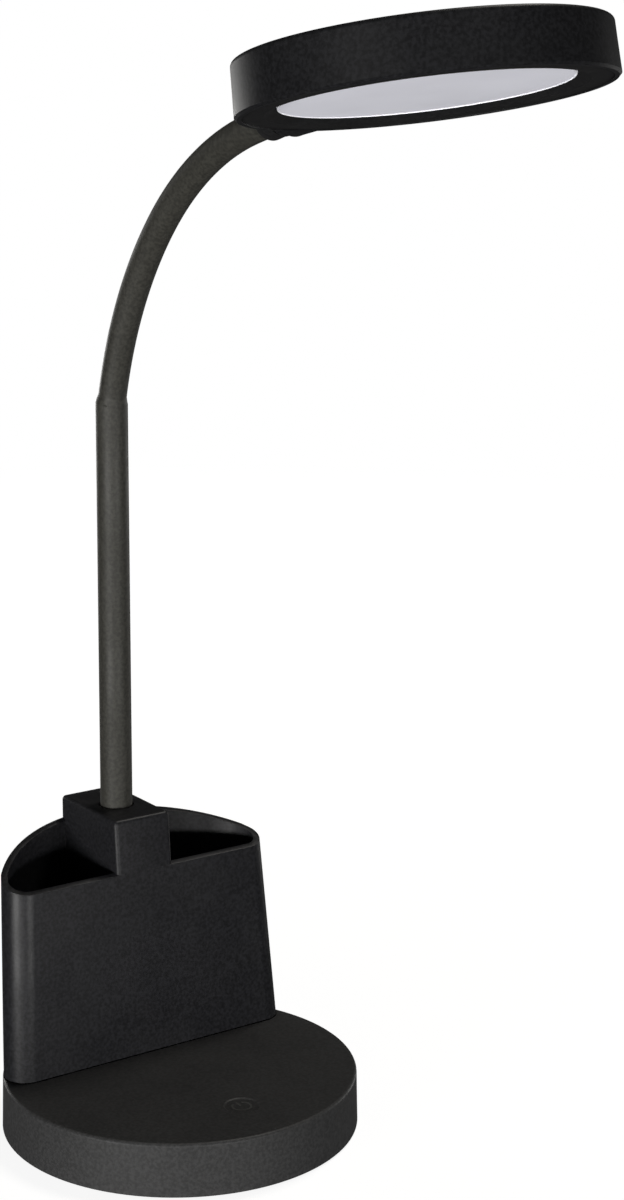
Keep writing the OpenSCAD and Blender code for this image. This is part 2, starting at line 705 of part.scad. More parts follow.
// The collar's cup fits round the knuckle, and its tongue goes in between the cheeks
module neck_collar() color(deep_black) on_bend(hinge_l) difference() {
    union() {
        difference() {
            union() {
                translate([0, 0, -collar_l]) cylinder(r1 = collar_r - 0.7, r2 = collar_r, h = 0.7);
                translate([0, 0, -collar_l + 0.7]) cylinder(r = collar_r, h = collar_l - 4.7);
            }
            sphere(r = cup_r);
        }
        translate([-tongue_t / 2, -tongue_w / 2, -cup_r - joint_lap])
            cube([tongue_t, tongue_w, cup_r + joint_lap]);
        rotate([0, 90, 0]) cylinder(r = eye_r, h = tongue_t, center = true);
    }
    translate([0, 0, -collar_l - over]) cylinder(r = link_r + run_gap, h = spigot_l + over);
    translate([0, lead_side, -collar_l + spigot_l - over]) cylinder(d = lead_d - 0.8, h = cup_r);
    rotate([0, 90, 0]) cylinder(d = pin_d + 2 * run_gap, h = tongue_t + 2 * over, center = true);
}

module hinge_pin() color(steel) on_bend(hinge_l) rotate([0, 90, 0])
    cylinder(d = pin_d, h = knuckle_d - 2, center = true);

// ---- head --------------------------------------------------------------------

module head_shell() color(black_case) difference() {
    in_head() {
        rotate_extrude() difference() {
            case_section(head_r, head_h, head_draft, head_edge_r, 0.8);
            translate([-over, -over]) square([head_in_r + over, head_h - head_top_t + over]);
            translate([-over, bezel_top - fit_gap]) square([head_in_r + clip_out + fit_gap + over, 2]);
        }
        ring_of(3, led_screws_r, 30) translate([0, 0, led_z + led_t]) difference() {
            cylinder(r = boss_r, h = led_boss_h + joint_lap);
            translate([0, 0, -over]) cylinder(r = pilot_r, h = led_boss_h - 0.1 + over);
        }
        translate([0, head_reach, head_h / 2]) rotate([90, 0, 0]) rotate([0, 0, 90]) {
            sphere(r = knuckle_r);
            cylinder(r = knuckle_r - 0.1, h = head_reach - head_in_r - joint_lap);
        }
    }
    on_bend(hinge_l) {
        rotate([0, -90, 0]) cylinder(r = eye_r + move_gap, h = slot_w, center = true);
        translate([-slot_w / 2, -knuckle_r - over, -knuckle_r - over])
            cube([slot_w, 2 * (knuckle_r + over), knuckle_r + over]);
        rotate([0, 90, 0]) cylinder(d = pin_d, h = knuckle_d + 2 * over, center = true);
    }
    in_head() translate([0, head_reach, head_h / 2 + lead_side - 0.3]) rotate([90, 0, 0])
        cylinder(d = lead_d - 0.6, h = head_reach - head_in_r + 5);
}

// The bezel: a flat ring, the slope down to the lens, the lens's seat and the clips
module bezel_ring() color(deep_black) in_head() {
    seat_in = lens_seat_r + fit_gap;
    seat_out = seat_in + 1;
    wall_in = bezel_r - bezel_wall;
    rotate_extrude() polygon([[open_r, lens_dip + 0.1], [open_r + bevel_w, bezel_dip], [bezel_r, bezel_dip],
        [bezel_r, bezel_top], [wall_in, bezel_top], [wall_in, bezel_dip + bezel_t],
        [seat_out, bezel_dip + bezel_t], [seat_out, lens_z + lens_t], [seat_in, lens_z + lens_t],
        [seat_in, lens_z], [open_r, lens_z]]);
    ring_of(clips, wall_in, 0) translate([0, -3, bezel_top - 0.5]) {
        cube([bezel_wall, 6, 2]);
        translate([0, 0, 0.8]) cube([bezel_wall + clip_out, 6, 1.2]);
    }
}

module lens() color(lens_white) in_head() {
    translate([0, 0, lens_dip]) cylinder(r1 = lens_r - 0.3, r2 = lens_r, h = 0.3);
    translate([0, 0, lens_dip + 0.3]) cylinder(r = lens_r, h = lens_z - lens_dip - 0.3);
    translate([0, 0, lens_z]) cylinder(r = lens_seat_r, h = lens_t);
}

// The white cone between the lens and the board
module reflector() color(white_plastic) in_head() rotate_extrude()
    polygon([[lens_seat_r, lens_z + lens_t], [led_board_r, led_z], [led_board_r - 1, led_z],
             [lens_seat_r - 1, lens_z + lens_t]]);

module led_board() color(board_white) in_head() difference() {
    translate([0, 0, led_z]) cylinder(r = led_board_r, h = led_t);
    ring_of(3, led_screws_r, 30) translate([0, 0, led_z - over])
        cylinder(d = screw_d + 2 * screw_gap, h = led_t + 2 * over);
}

module led_chips() color("#e6d98a") in_head() {
    for (ring = led_rings) ring_of(ring[0], ring[1])
        translate([0, 0, led_z - chip_size[2] / 2]) cube(chip_size, center = true);
}

module led_screws() color(steel) in_head()
    ring_of(3, led_screws_r, 30) translate([0, 0, led_z]) screw(led_screw_l);

base_cover();
base_plate();
desk_mat();
ballast_plate();
ballast_screws();
base_screws();
touch_contact();
touch_spring();
control_board();
board_parts();
board_screws();
dc_jack();
jack_pin();
pen_holder();
holder_screws();
neck_pipe();
neck_washer();
neck_nut();
pipe_plug();
sleeve_pipe();
sleeve_1();
neck_link_1();
sleeve_2();
neck_link_2();
sleeve_3();
neck_link_3();
sleeve_4();
neck_link_4();
sleeve_5();
neck_link_5();
sleeve_6();
neck_link_6();
sleeve_end();
neck_collar();
hinge_pin();
head_shell();
bezel_ring();
lens();
reflector();
led_board();
led_chips();
led_screws();
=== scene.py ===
"""Dresses a desk lamp with a pen holder on its round base.

It makes the finishes, the neck's skin, a near-black band of painted shade in the gap under the pen holder,
a raised ring round the lens coloured a little paler as a painted highlight, the mark on the touch key, and
the studio round them.
"""

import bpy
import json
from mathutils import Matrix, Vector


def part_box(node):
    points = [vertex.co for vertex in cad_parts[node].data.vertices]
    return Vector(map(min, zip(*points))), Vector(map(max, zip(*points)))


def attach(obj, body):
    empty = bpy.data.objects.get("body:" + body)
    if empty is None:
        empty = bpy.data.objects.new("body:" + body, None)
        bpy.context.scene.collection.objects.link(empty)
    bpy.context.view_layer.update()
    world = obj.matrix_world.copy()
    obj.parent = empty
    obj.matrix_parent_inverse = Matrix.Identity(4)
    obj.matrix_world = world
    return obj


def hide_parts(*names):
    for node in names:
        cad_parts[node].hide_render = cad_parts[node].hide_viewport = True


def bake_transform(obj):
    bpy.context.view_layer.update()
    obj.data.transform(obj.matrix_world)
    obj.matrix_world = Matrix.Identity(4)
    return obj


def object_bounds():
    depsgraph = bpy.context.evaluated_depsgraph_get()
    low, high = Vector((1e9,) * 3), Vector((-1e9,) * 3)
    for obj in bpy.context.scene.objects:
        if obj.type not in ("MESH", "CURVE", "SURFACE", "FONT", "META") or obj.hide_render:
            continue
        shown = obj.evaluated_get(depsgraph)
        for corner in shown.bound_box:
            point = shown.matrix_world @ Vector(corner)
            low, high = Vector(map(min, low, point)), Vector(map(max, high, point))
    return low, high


bl_info = {
    "name": "Desk Lamp with Pen Holder",
    "version": (1, 0, 0),
    "blender": (4, 5, 0),
    "location": "View3D > Sidebar > Desk Lamp",
    "description": "Builds the finishes and the fine parts of a desk lamp, and the studio round it",
    "category": "Add Mesh",
}

import json
from math import atan2, cos, pi, radians, sin, sqrt

import bpy
from mathutils import Matrix, Vector

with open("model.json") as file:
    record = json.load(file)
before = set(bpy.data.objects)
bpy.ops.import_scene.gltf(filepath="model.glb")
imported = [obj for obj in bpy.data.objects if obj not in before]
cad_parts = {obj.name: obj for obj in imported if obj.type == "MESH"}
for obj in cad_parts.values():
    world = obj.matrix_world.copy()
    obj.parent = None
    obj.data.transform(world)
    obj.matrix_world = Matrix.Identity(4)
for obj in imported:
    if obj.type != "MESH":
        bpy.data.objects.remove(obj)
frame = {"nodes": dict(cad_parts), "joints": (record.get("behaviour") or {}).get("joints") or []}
NODES = frame["nodes"]
JOINTS = {joint["name"]: joint for joint in frame["joints"]}
CAD_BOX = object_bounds()
MM = 0.001

# ---- studio ----------------------------------------------------------------------------------

# How strongly the floor and the room glow on the lamp
FLOOR_BOUNCE = 0.40
FLOOR_TINT = (0.97, 0.98, 1.0)
ROOM_LIGHT = 0.03
ROOM_TINT = (0.92, 0.96, 1.0)
# The share of the white ground that gloss mirrors
GLOSS_WHITE = 0.04

FLOOR_SIZE = 12
FLOOR_COLOUR = (0.82, 0.82, 0.82, 1)
FLOOR_ROUGH = 0.9
# The floor shows this share of its own shading up to SHADOW_NEAR metres from the lamp, and none of it
# from SHADOW_FAR on
FLOOR_SHADOW = 0.3
SHADOW_NEAR = 0.35
SHADOW_FAR = 1.3
# Its white glow rises by this part of that share, so that the floor outside the shadow stays white
SHADOW_LIFT = 0.93

# Low soft boxes at one distance and height: name, azimuth, width and height, watts
LOW_LIGHTS_Z = 0.07
LOW_LIGHTS_DISTANCE = 1.6
LOW_LIGHTS_COLOUR = (1.0, 0.99, 0.97)
LOW_LIGHTS = [
    ("key", -68, (0.75, 0.12), 22),
    ("fill left", -38, (0.6, 0.12), 5.5),
    ("fill right", 0, (0.75, 0.12), 11),
    ("back", 176, (0.7, 0.3), 8),
    ("right", 100, (0.5, 0.3), 5),
]
# The light from above: name, azimuth, elevation, distance, width and height, watts, colour
TOP_LIGHT = ("top", 108, 62, 1.8, (0.5, 0.5), 14, (1.0, 0.965, 0.90))

CAMERA_PLACE = (-0.458275, -0.725709, 0.402898)
CAMERA_PAN = radians(-35.41)
CAMERA_TILT = radians(90 - 13.558)
CAMERA_ROLL = radians(0.397)
CAMERA_LENS = 75.637
CAMERA_SENSOR = 36.0

# ---- places that come from the frame ---------------------------------------------------------

BEND_JOINTS = [JOINTS[name] for name in (
    "neck_bend_1", "neck_turn_1", "neck_bend_2", "neck_turn_2", "neck_bend_3", "neck_turn_3")]
PIVOTS = [Vector(joint["pos_m"]) for joint in BEND_JOINTS]
HINGE = Vector(JOINTS["head_tilt"]["pos_m"])
BASE_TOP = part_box("base_cover")[1].z
NECK_Y = PIVOTS[0].y
KINK_Z = PIVOTS[0].z
KEY_Y = (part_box("touch_contact")[0].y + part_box("touch_contact")[1].y) / 2


def circle_through(a, b, c):
    """Centre (y, z) and radius of the circle through three points in the plane x = 0."""
    ax, ay, bx, by, cx, cy = a.y, a.z, b.y, b.z, c.y, c.z
    d = 2 * (ax * (by - cy) + bx * (cy - ay) + cx * (ay - by))
    y = ((ax**2 + ay**2) * (by - cy) + (bx**2 + by**2) * (cy - ay) + (cx**2 + cy**2) * (ay - by)) / d
    z = ((ax**2 + ay**2) * (cx - bx) + (bx**2 + by**2) * (ax - cx) + (cx**2 + cy**2) * (bx - ax)) / d
    return Vector((0, y, z)), sqrt((ax - y) ** 2 + (ay - z) ** 2)


def angle_on(centre, point):
    return atan2(point.z - centre.z, point.y - centre.y)


# The neck bends along two arcs and then runs straight to the hinge
LOW_CENTRE, LOW_R = circle_through(PIVOTS[0], PIVOTS[1], PIVOTS[3])
TOP_CENTRE, TOP_R = circle_through(PIVOTS[3], PIVOTS[4], PIVOTS[5])
KINK_LEAN = angle_on(LOW_CENTRE, PIVOTS[0])
MID_LEAN = angle_on(LOW_CENTRE, PIVOTS[3])
END_LEAN = MID_LEAN + 3 * (angle_on(TOP_CENTRE, PIVOTS[4]) - MID_LEAN)
LOW_L = LOW_R * (MID_LEAN - KINK_LEAN)
BEND_L = LOW_L + TOP_R * (END_LEAN - MID_LEAN)
BEND_END = TOP_CENTRE + TOP_R * Vector((0, cos(END_LEAN), sin(END_LEAN)))
HINGE_L = BEND_L + (HINGE - BEND_END).length
# From the hinge back to the end of the collar
COLLAR_L = 12.8 * MM
SLEEVE_L = HINGE_L - COLLAR_L
PIVOT_L = [LOW_L * k / 3 for k in range(3)] + [LOW_L + (BEND_L - LOW_L) * k / 3 for k in range(3)]
# The skin's lengths meet halfway between the joints
LINK_MIDS = [(a + b) / 2 for a, b in zip(PIVOT_L, PIVOT_L[1:] + [SLEEVE_L])]


def bend_point(s):
    """Point on the neck's line at a length s past the kink."""
    if s < LOW_L:
        lean = KINK_LEAN + s / LOW_R
        return LOW_CENTRE + LOW_R * Vector((0, cos(lean), sin(lean)))
    if s < BEND_L:
        lean = MID_LEAN + (s - LOW_L) / TOP_R
        return TOP_CENTRE + TOP_R * Vector((0, cos(lean), sin(lean)))
    return BEND_END + (s - BEND_L) * bend_tangent(s)


def bend_lean(s):
    """Angle off the vertical of the neck's line at a length s past the kink."""
    if s < LOW_L:
        return KINK_LEAN + s / LOW_R
    return min(MID_LEAN + (s - LOW_L) / TOP_R, END_LEAN)


def bend_tangent(s):
    return Vector((0, -sin(bend_lean(s)), cos(bend_lean(s))))


# ---- settings that a user would change --------------------------------------------------------

def length_setting(name, text, default):
    return bpy.props.FloatProperty(name=name, description=text, default=default, min=0, unit="LENGTH")


def colour_setting(name, text, default):
    return bpy.props.FloatVectorProperty(
        name=name, description=text, default=default, size=3, min=0, max=1, subtype="COLOR")


class LampSizes(bpy.types.PropertyGroup):
    skin_foot_r: length_setting("Skin radius at its foot", "Radius of the skin at the tower", 6.0 * MM)
    skin_kink_r: length_setting("Skin radius at the kink", "Radius of the skin under the kink", 5.8 * MM)
    skin_top_r: length_setting("Skin radius on the bend", "Radius of the skin on the bend", 5.1 * MM)
    skin_wall: length_setting("Skin wall", "Thickness of the neck's skin", 0.55 * MM)
    icon_d: length_setting("Mark diameter", "Diameter of the mark on the touch key", 7.5 * MM)
    icon_stroke: length_setting("Mark stroke", "Width of the mark's lines", 0.75 * MM)
    rim_round: length_setting(
        "Rim rounding", "Most that the pen holder's edges are rounded; its short edges hold this back",
        0.5 * MM)
    # The band round the pen holder's foot is near-black painted shade, for the shadow in the gap where the
    # holder meets the base
    shade_band_h: length_setting("Gap shade band height", "Height of the painted gap shade under the pen holder", 0.3 * MM)
    shade_band_proud: length_setting("Gap shade band reach", "How far the painted gap shade stands proud", 0.12 * MM)
    # The raised ring round the lens's rim; its paler colour is a painted highlight
    lens_edge_w: length_setting("Lens edge width", "Width of the lens's polished edge", 0.35 * MM)
    lens_edge_h: length_setting("Lens edge height", "How far the edge stands off the lens", 0.22 * MM)


class LampColours(bpy.types.PropertyGroup):
    base: colour_setting("Base", "Colour of the base's cover", (0.0292, 0.0292, 0.0296))
    shell: colour_setting("Pen holder", "Colour of the pen holder", (0.0106, 0.0107, 0.0122))
    head: colour_setting("Head", "Colour of the head's shell", (0.0080, 0.0081, 0.0090))
    dark: colour_setting("Dark parts", "Colour of the bezel, collar, inlet and mat", (0.009, 0.009, 0.0094))
    skin: colour_setting("Neck", "Colour of the neck's skin", (0.0270, 0.0262, 0.0220))
    mark: colour_setting("Touch mark", "Colour of the mark on the touch key", (0.050, 0.050, 0.049))
    lens: colour_setting("Lens", "Colour of the lens", (0.82, 0.82, 0.89))
    # A little paler than the lens: painted highlight along the lens's rim
    lens_edge: colour_setting("Lens edge", "Colour of the lens's polished edge", (0.86, 0.86, 0.90))
    # Near-black painted shade for the gap under the pen holder
    seam: colour_setting("Gap shade band", "Colour of the gap under the pen holder", (0.001, 0.001, 0.001))


def sizes():
    return bpy.context.scene.lamp_sizes


def colours():
    return bpy.context.scene.lamp_colours


# ---- node groups and materials ----------------------------------------------------------------

# The noises: waves to the metre, their detail and the part of their range that is used
PATCHES = 38.0
PATCH_RANGE = (0.35, 0.65)
BLOTCHES = 190.0
SPECKLE_DETAIL = 3.0
SPECKLE_RANGE = (0.38, 0.62)
SPECKLE_SHARE = 0.92
BLOTCH_SHARE = 0.08
GRAIN_DEPTH = 0.05 * MM
RUBS = 22.0
RUB_DETAIL = 5.0
RUB_ROUGH = 0.6
RUB_RANGE = (0.48, 0.72)
# What rubbing does: the colour it tends to and how far, and how much of the roughness it takes
RUB_COLOUR = (0.3, 0.3, 0.3, 1)
RUB_PALER = 0.2
RUB_POLISH = 0.5


def new_group(name, inputs, outputs):
    """An empty shader group: inputs are (name, default), outputs are (name, socket type)."""
    group = bpy.data.node_groups.new(name, "ShaderNodeTree")
    for label, default in inputs:
        kind = "NodeSocketColor" if hasattr(default, "__len__") else "NodeSocketFloat"
        socket = group.interface.new_socket(label, in_out="INPUT", socket_type=kind)
        socket.default_value = (*default, 1) if hasattr(default, "__len__") else default
    for label, kind in outputs:
        group.interface.new_socket(label, in_out="OUTPUT", socket_type=kind)
    return group, group.nodes.new("NodeGroupInput"), group.nodes.new("NodeGroupOutput")


def noise(group, coordinates, scale, detail=2.0, rough=0.5):
    node = group.nodes.new("ShaderNodeTexNoise")
    node.inputs["Scale"].default_value = scale
    node.inputs["Detail"].default_value = detail
    node.inputs["Roughness"].default_value = rough
    group.links.new(coordinates, node.inputs["Vector"])
    return node.outputs["Fac"]


def remap(group, value, low, high, to_low, to_high):
    node = group.nodes.new("ShaderNodeMapRange")
    group.links.new(value, node.inputs["Value"])
    for label, x in (("From Min", low), ("From Max", high), ("To Min", to_low), ("To Max", to_high)):
        if isinstance(x, bpy.types.NodeSocket):
            group.links.new(x, node.inputs[label])
        else:
            node.inputs[label].default_value = x
    return node.outputs["Result"]


def math_node(group, operation, a, b):
    node = group.nodes.new("ShaderNodeMath")
    node.operation = operation
    for socket, x in zip(node.inputs, (a, b)):
        if isinstance(x, bpy.types.NodeSocket):
            group.links.new(x, socket)
        else:
            socket.default_value = x
    return node.outputs["Value"]


def mix_colour(group, factor, a, b):
    node = group.nodes.new("ShaderNodeMix")
    node.data_type = "RGBA"
    for label, x in (("Factor", factor), ("A", a), ("B", b)):
        socket = next(s for s in node.inputs if s.name == label and s.enabled)
        if isinstance(x, bpy.types.NodeSocket):
            group.links.new(x, socket)
        else:
            socket.default_value = x
    return next(s for s in node.outputs if s.enabled)


def grain_group():
    """Grain of moulded parts: speckle and blotches in the colour, patches in the roughness, a height."""
    group, start, end = new_group(
        "Moulded grain",
        [("Color", (0.1, 0.1, 0.1)), ("Grain per metre", 850.0), ("Mottle", 0.12), ("Roughness", 0.5),
         ("Roughness spread", 0.1)],
        [("Color", "NodeSocketColor"), ("Roughness", "NodeSocketFloat"), ("Height", "NodeSocketFloat")])
    place = group.nodes.new("ShaderNodeTexCoord").outputs["Object"]
    fine = group.nodes.new("ShaderNodeTexNoise")
    fine.inputs["Detail"].default_value = SPECKLE_DETAIL
    group.links.new(place, fine.inputs["Vector"])
    group.links.new(start.outputs["Grain per metre"], fine.inputs["Scale"])
    broad = noise(group, place, PATCHES)
    blotch = noise(group, place, BLOTCHES, SPECKLE_DETAIL)
    speck = math_node(group, "ADD", math_node(group, "MULTIPLY", fine.outputs["Fac"], SPECKLE_SHARE),
                      math_node(group, "MULTIPLY", blotch, BLOTCH_SHARE))
    darkest = math_node(group, "SUBTRACT", 1.0, start.outputs["Mottle"])
    palest = math_node(group, "ADD", 1.0, start.outputs["Mottle"])
    amount = remap(group, speck, *SPECKLE_RANGE, darkest, palest)
    shade = group.nodes.new("ShaderNodeVectorMath")
    shade.operation = "SCALE"
    group.links.new(start.outputs["Color"], shade.inputs[0])
    group.links.new(amount, shade.inputs["Scale"])
    group.links.new(shade.outputs["Vector"], end.inputs["Color"])
    low = math_node(group, "SUBTRACT", start.outputs["Roughness"], start.outputs["Roughness spread"])
    high = math_node(group, "ADD", start.outputs["Roughness"], start.outputs["Roughness spread"])
    group.links.new(remap(group, broad, *PATCH_RANGE, low, high), end.inputs["Roughness"])
    group.links.new(fine.outputs["Fac"], end.inputs["Height"])
    return group


def wear_group():
    """Slightly polished, paler patches where hands and cloths rub."""
    group, start, end = new_group(
        "Handling wear",
        [("Color", (0.1, 0.1, 0.1)), ("Roughness", 0.5), ("Amount", 0.15)],
        [("Color", "NodeSocketColor"), ("Roughness", "NodeSocketFloat")])
    place = group.nodes.new("ShaderNodeTexCoord").outputs["Object"]
    patch = remap(group, noise(group, place, RUBS, RUB_DETAIL, RUB_ROUGH), *RUB_RANGE, 0.0, 1.0)
    amount = math_node(group, "MULTIPLY", patch, start.outputs["Amount"])
    paler = mix_colour(group, RUB_PALER, start.outputs["Color"], RUB_COLOUR)
    group.links.new(mix_colour(group, amount, start.outputs["Color"], paler), end.inputs["Color"])
    drop = math_node(group, "MULTIPLY", amount, RUB_POLISH)
    polished = math_node(group, "SUBTRACT", start.outputs["Roughness"], drop)
    group.links.new(polished, end.inputs["Roughness"])
    return group


def group_node(material, group, **values):
    node = material.node_tree.nodes.new("ShaderNodeGroup")
    node.node_tree = group
    for label, x in values.items():
        socket = node.inputs[label.replace("_", " ")]
        socket.default_value = (*x, 1) if hasattr(x, "__len__") else x
    return node


def shared_group(name, make):
    return bpy.data.node_groups.get(name) or make()


def plastic(name, colour, rough, specular, mottle, spread=0.06, grain=850.0, bump=0.12, wear=0.1):
    """A moulded plastic with spark-eroded grain, slight mottle and handling wear."""
    material = bpy.data.materials.new(name)
    material.use_nodes = True
    tree = material.node_tree
    shader = tree.nodes["Principled BSDF"]
    base = group_node(material, shared_group("Moulded grain", grain_group), Color=colour,
                      Grain_per_metre=grain, Mottle=mottle, Roughness=rough, Roughness_spread=spread)
    worn = group_node(material, shared_group("Handling wear", wear_group), Amount=wear)
    tree.links.new(base.outputs["Color"], worn.inputs["Color"])
    tree.links.new(base.outputs["Roughness"], worn.inputs["Roughness"])
    tree.links.new(worn.outputs["Color"], shader.inputs["Base Color"])
    tree.links.new(worn.outputs["Roughness"], shader.inputs["Roughness"])
    shader.inputs["Specular IOR Level"].default_value = specular
    bumps = tree.nodes.new("ShaderNodeBump")
    bumps.inputs["Strength"].default_value = bump
    bumps.inputs["Distance"].default_value = GRAIN_DEPTH
    tree.links.new(base.outputs["Height"], bumps.inputs["Height"])
    tree.links.new(bumps.outputs["Normal"], shader.inputs["Normal"])
    return material


def metal(name, colour, rough):
    """A plain machined or plated metal, slightly uneven in its roughness."""
    material = plastic(name, colour, rough=rough, spread=0.08, specular=0.5, mottle=0.04, grain=900.0,
                       bump=0.05, wear=0.2)
    material.node_tree.nodes["Principled BSDF"].inputs["Metallic"].default_value = 1.0
    return material


def finish(name):
    """The material of a finish, made once from the settings."""
    if name in bpy.data.materials:
        return bpy.data.materials[name]
    c = colours()
    make = {
        "base plastic": lambda: plastic(name, tuple(c.base), rough=0.5, specular=0.17, mottle=0.2,
                                        bump=0.3, wear=0.04),
        "shell plastic": lambda: plastic(name, tuple(c.shell), rough=0.4, specular=0.17, mottle=0.35,
                                         bump=0.4, wear=0.02),
        "head plastic": lambda: plastic(name, tuple(c.head), rough=0.42, specular=0.12, mottle=0.35,
                                        bump=0.4, wear=0.02),
        "dark plastic": lambda: plastic(name, tuple(c.dark), rough=0.5, specular=0.1, mottle=0.2),
        "neck rubber": lambda: plastic(name, tuple(c.skin), rough=0.55, specular=0.27, mottle=0.25,
                                       bump=0.2, wear=0.05),
        "mat rubber": lambda: plastic(name, tuple(c.dark), rough=0.8, specular=0.2, mottle=0.1,
                                      grain=1200.0, bump=0.6, wear=0.0),
        "mark paint": lambda: plastic(name, tuple(c.mark), rough=0.5, specular=0.3, mottle=0.1),
        # Paler than the lens opal: painted highlight on the ring round the lens
        "lens ring painted highlight": lambda: plastic(name, tuple(c.lens_edge), rough=0.4, specular=0.3, mottle=0.0,
                                     bump=0.0, wear=0.0),
        # Near-black painted shade for the gap under the pen holder, where it meets the base
        "painted gap shade": lambda: plastic(name, tuple(c.seam), rough=0.9, specular=0.0, mottle=0.1, wear=0.0),
        "lens opal": lambda: plastic(name, tuple(c.lens), rough=0.35, spread=0.03, specular=0.4,
                                     mottle=0.0, grain=700.0, bump=0.02, wear=0.0),
        "bright steel": lambda: metal(name, (0.55, 0.56, 0.57), rough=0.28),
        "dark steel": lambda: metal(name, (0.16, 0.165, 0.17), rough=0.42),
        "iron": lambda: metal(name, (0.12, 0.12, 0.125), rough=0.55),
        "brass": lambda: metal(name, (0.62, 0.47, 0.2), rough=0.3),
        "board green": lambda: plastic(name, (0.012, 0.07, 0.03), rough=0.35, specular=0.5, mottle=0.15),
        "board white": lambda: plastic(name, (0.78, 0.79, 0.77), rough=0.4, specular=0.4, mottle=0.02),
        "white plastic": lambda: plastic(name, (0.8, 0.8, 0.82), rough=0.3, specular=0.5, mottle=0.0),
        "chip phosphor": lambda: plastic(name, (0.78, 0.68, 0.22), rough=0.4, specular=0.4, mottle=0.1),
    }
    return make[name]()


NODE_FINISH = {
    "base_cover": "base plastic", "pen_holder": "shell plastic", "head_shell": "head plastic",
    "base_plate": "dark plastic", "dc_jack": "dark plastic", "neck_collar": "dark plastic",
    "bezel_ring": "dark plastic", "board_parts": "dark plastic", "desk_mat": "mat rubber",
    "ballast_plate": "iron", "touch_contact": "brass", "touch_spring": "brass",
    "control_board": "board green", "led_board": "board white", "reflector": "white plastic",
    "led_chips": "chip phosphor", "lens": "lens opal", "pipe_plug": "dark steel",
    "sleeve_pipe": "neck rubber", "sleeve_end": "neck rubber",
    **{f"sleeve_{k}": "neck rubber" for k in range(1, 7)},
    **{f"neck_link_{k}": "dark steel" for k in range(1, 7)},
}


# ---- modelling helpers ------------------------------------------------------------------------

# Corners of a carried part that are closer than this are one corner
MERGE_DISTANCE = 0.002 * MM


def deselect_all():
    if bpy.context.object and bpy.context.object.mode != "OBJECT":
        bpy.ops.object.mode_set(mode="OBJECT")
    bpy.ops.object.select_all(action="DESELECT")


def make_active(piece):
    deselect_all()
    piece.select_set(True)
    bpy.context.view_layer.objects.active = piece


def at_origin(piece):
    """Puts the piece's place into its mesh."""
    make_active(piece)
    bpy.ops.object.transform_apply(location=True, rotation=True, scale=True)


def apply_modifier(piece, kind, **values):
    make_active(piece)
    modifier = piece.modifiers.new(kind.title(), kind)
    for label, x in values.items():
        setattr(modifier, label, x)
    bpy.ops.object.modifier_apply(modifier=modifier.name)


def recalculate_normals(piece):
    make_active(piece)
    bpy.ops.object.mode_set(mode="EDIT")
    bpy.ops.mesh.select_all(action="SELECT")
    bpy.ops.mesh.normals_make_consistent(inside=False)
    bpy.ops.object.mode_set(mode="OBJECT")


def smooth(piece, angle=radians(40)):
    make_active(piece)
    bpy.ops.object.shade_smooth_by_angle(angle=angle)


def set_finish(piece, name):
    piece.data.materials.clear()
    piece.data.materials.append(finish(name))


def copy_of(node, name):
    """A copy of a carried part with its own mesh, its loose triangles joined. It stays in edit mode."""
    deselect_all()
    piece = NODES[node].copy()
    piece.data = NODES[node].data.copy()
    piece.name = piece.data.name = name
    bpy.context.collection.objects.link(piece)
    make_active(piece)
    bpy.ops.object.mode_set(mode="EDIT")
    bpy.ops.mesh.select_all(action="SELECT")
    bpy.ops.mesh.remove_doubles(threshold=MERGE_DISTANCE)
    return piece


# ---- neck skin --------------------------------------------------------------------------------

# Sides of the skin's rings, and how far apart the rings are on the bend
RING_SIDES = 56
STEP = 1.0 * MM
FOOT_STEPS = 48
PIPE_END_STEPS = 10
KINK_STEPS = 6
# The kink takes this length of the pipe and this length of the bend
SHOULDER = 3.0 * MM
KINK_RUN = 3.0 * MM


def ring_at(name, place, lean, radius):
    """Starts a skin as one ring of edges, square to the neck's line. It stays in edit mode."""
    deselect_all()
    bpy.ops.mesh.primitive_circle_add(
        vertices=RING_SIDES, radius=radius, fill_type="NOTHING", location=place, rotation=(lean, 0, 0))
    piece = bpy.context.object
    piece.name = piece.data.name = name
    at_origin(piece)
    bpy.ops.object.mode_set(mode="EDIT")
    bpy.ops.mesh.select_all(action="SELECT")
    return piece


def extrude_ring(move, grow=1.0):
    bpy.ops.mesh.extrude_region_move(TRANSFORM_OT_translate={"value": tuple(move)})
    if grow != 1.0:
        bpy.ops.transform.resize(value=(grow, grow, grow))


def tilt_ring(angle, middle):
    """Leans the ring about its middle. Without a window the operator turns the other way."""
    bpy.ops.transform.rotate(value=-angle, orient_axis="X", center_override=tuple(middle))


def spin_ring(centre, angle, radius):
    """Carries the ring up an arc. The operator counts its angle clockwise about the axis."""
    steps = max(2, round(abs(angle) * radius / STEP))
    bpy.ops.mesh.spin(steps=steps, angle=-angle, center=tuple(centre), axis=(1, 0, 0))


def run_along(a, b):
    """Carries the selected ring along the neck's line from length a to length b."""
    if a < LOW_L:
        spin_ring(LOW_CENTRE, (min(b, LOW_L) - a) / LOW_R, LOW_R)
    if b > LOW_L and a < BEND_L:
        spin_ring(TOP_CENTRE, (min(b, BEND_L) - max(a, LOW_L)) / TOP_R, TOP_R)
    if b > BEND_L:
        run = b - max(a, BEND_L)
        steps = max(1, round(run / STEP))
        for _ in range(steps):
            extrude_ring(bend_tangent(b) * run / steps)


def close_skin(piece):
    """Gives the tube its wall and rounds its look."""
    bpy.ops.object.mode_set(mode="OBJECT")
    recalculate_normals(piece)
    apply_modifier(piece, "SOLIDIFY", thickness=sizes().skin_wall, offset=-1.0, use_even_offset=True)
    smooth(piece)
    set_finish(piece, "neck rubber")
    return piece


def skin_between(name, a, b):
    piece = ring_at(name, bend_point(a), bend_lean(a), sizes().skin_top_r)
    run_along(a, b)
    return close_skin(piece)


